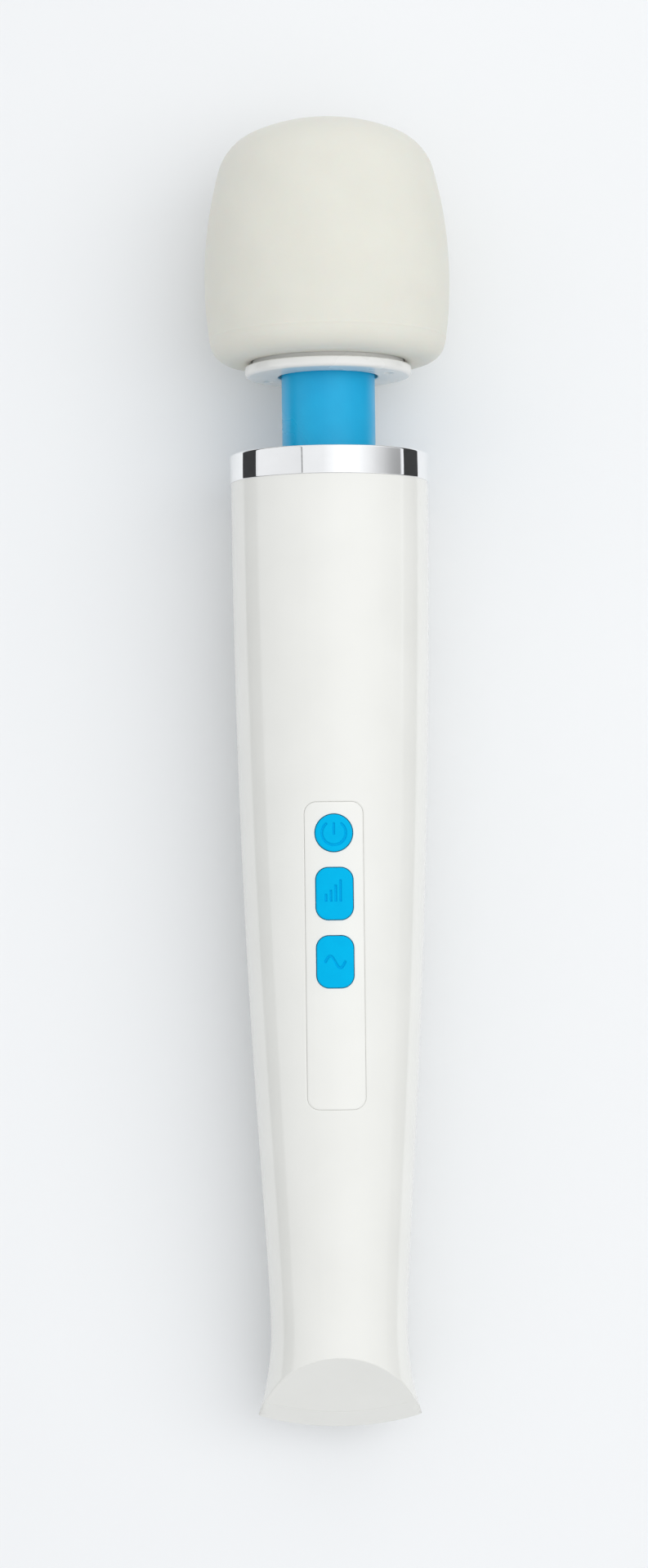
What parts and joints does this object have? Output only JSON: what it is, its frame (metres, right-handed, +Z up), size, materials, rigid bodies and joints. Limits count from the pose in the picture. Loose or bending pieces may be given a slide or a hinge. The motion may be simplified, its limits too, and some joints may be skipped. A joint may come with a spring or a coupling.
{
  "type": "handheld wand massager",
  "caption": "Handheld wand massager with a round tapered handle, a control panel of push buttons, a chrome ring, a flexible blue neck and a soft rounded head.",
  "frame": {"origin": "on the surface the wand lies on, at the middle of its length and width", "axes": "+Y towards the head along the floor, +Z up (the buttons face up), +X to the right of someone who looks down on the buttons with the head pointing away"},
  "size_m": [0.0634, 0.3398, 0.0636],
  "materials": {
    "shell_ivory": "glossy moulded ABS",
    "panel_ivory": "glossy moulded ABS",
    "retainer_ivory": "glossy moulded ABS",
    "plate_white": "polished moulded ABS",
    "cover_silicone": "matte silicone",
    "neck_blue": "semi-matte rubber",
    "button_blue": "satin moulded plastic",
    "ring_chrome": "mirror chrome plating",
    "core_plastic": "matte glass-filled nylon",
    "dark_plastic": "matte black plastic",
    "grey_plastic": "matte grey nylon",
    "white_plastic": "matte white nylon",
    "screw_steel": "zinc plated",
    "shaft_steel": "ground steel",
    "spring_steel": "oiled spring steel",
    "can_steel": "zinc plated steel",
    "iron_lamination": "stacked sheet",
    "magnet_ferrite": "sintered ferrite",
    "weight_steel": "sintered steel",
    "bronze": "oil-filled sintered bronze",
    "brass": "machined brass",
    "copper": "enamelled copper",
    "damper_rubber": "matte rubber",
    "board_green": "solder-masked board",
    "cell_wrap": "shrink wrap",
    "wire_red": "insulated wire",
    "led_clear": "clear epoxy"
  },
  "bodies": {
    "handle": {"front_shell": "shell_ivory", "back_shell": "shell_ivory", "tail_cap": "shell_ivory", "shell_screws": "screw_steel", "cap_screws": "screw_steel", "control_panel": "panel_ivory", "circuit_board": "board_green", "switch_bodies": "dark_plastic", "status_leds": "led_clear", "control_chip": "dark_plastic", "wire_connectors": "white_plastic", "board_screws": "screw_steel", "battery_cells": "cell_wrap", "battery_holder": "dark_plastic", "battery_wires": "wire_red", "dc_jack": "dark_plastic", "inlet_seal": "damper_rubber", "jack_wires": "wire_red", "motor_can": "can_steel", "motor_magnets": "magnet_ferrite", "motor_end_bell": "grey_plastic", "motor_mount": "grey_plastic", "motor_screws": "screw_steel", "front_motor_damper": "damper_rubber", "rear_motor_damper": "damper_rubber", "motor_wires": "wire_red", "chrome_ring": "ring_chrome", "neck_collar": "grey_plastic", "neck_retainer": "retainer_ivory"},
    "neck": {"neck_sleeve": "neck_blue", "neck_spring": "spring_steel"},
    "head": {"head_base_plate": "plate_white", "head_core_lower": "core_plastic", "head_core_upper": "core_plastic", "core_screws": "screw_steel", "head_cover": "cover_silicone", "lower_bushing": "bronze", "upper_bushing": "bronze", "thrust_washer": "shaft_steel"},
    "rotor": {"motor_shaft": "shaft_steel", "armature": "iron_lamination", "armature_windings": "copper", "commutator": "copper", "lower_drive_hub": "brass", "flexible_shaft": "spring_steel"},
    "eccentric": {"upper_drive_hub": "brass", "eccentric_shaft": "shaft_steel", "eccentric_weight": "weight_steel", "weight_set_screw": "screw_steel", "shaft_clip": "spring_steel"},
    "power_key": {"power_button": "button_blue", "power_plunger": "dark_plastic"},
    "intensity_key": {"intensity_button": "button_blue", "intensity_plunger": "dark_plastic"},
    "pattern_key": {"pattern_button": "button_blue", "pattern_plunger": "dark_plastic"}
  },
  "joints": [
    {"name": "neck_nod", "type": "hinge", "parent": "handle", "child": "neck", "pos_m": [0, 0.09228, 0.03056], "axis": [1, 0, 0], "range_deg": [-15, 15], "stiffness_Nm_per_rad": 6, "deforming": ["neck_sleeve", "neck_spring", "flexible_shaft"]},
    {"name": "neck_sway", "type": "hinge", "parent": "neck", "child": "head", "pos_m": [0, 0.09228, 0.03056], "axis": [0, -0.0354, 0.9994], "range_deg": [-15, 15], "stiffness_Nm_per_rad": 6, "deforming": ["neck_sleeve", "neck_spring", "flexible_shaft"]},
    {"name": "motor_spin", "type": "hinge", "parent": "handle", "child": "rotor", "pos_m": [0, 0.03496, 0.02853], "axis": [0, 0.9994, 0.0354], "continuous": true},
    {"name": "eccentric_spin", "type": "hinge", "parent": "head", "child": "eccentric", "pos_m": [0, 0.1329, 0.03199], "axis": [0, 0.9994, 0.0354], "continuous": true},
    {"name": "power_press", "type": "slide", "parent": "handle", "child": "power_key", "axis": [0, 0.0354, -0.9994], "range_m": [0, 0.0005], "stiffness_N_per_m": 2000},
    {"name": "intensity_press", "type": "slide", "parent": "handle", "child": "intensity_key", "axis": [0, 0.0354, -0.9994], "range_m": [0, 0.0005], "stiffness_N_per_m": 2000},
    {"name": "pattern_press", "type": "slide", "parent": "handle", "child": "pattern_key", "axis": [0, 0.0354, -0.9994], "range_m": [0, 0.0005], "stiffness_N_per_m": 2000}
  ],
  "couplings": [
    {"joint": "eccentric_spin", "follows": "motor_spin", "ratio": 1}
  ]
}
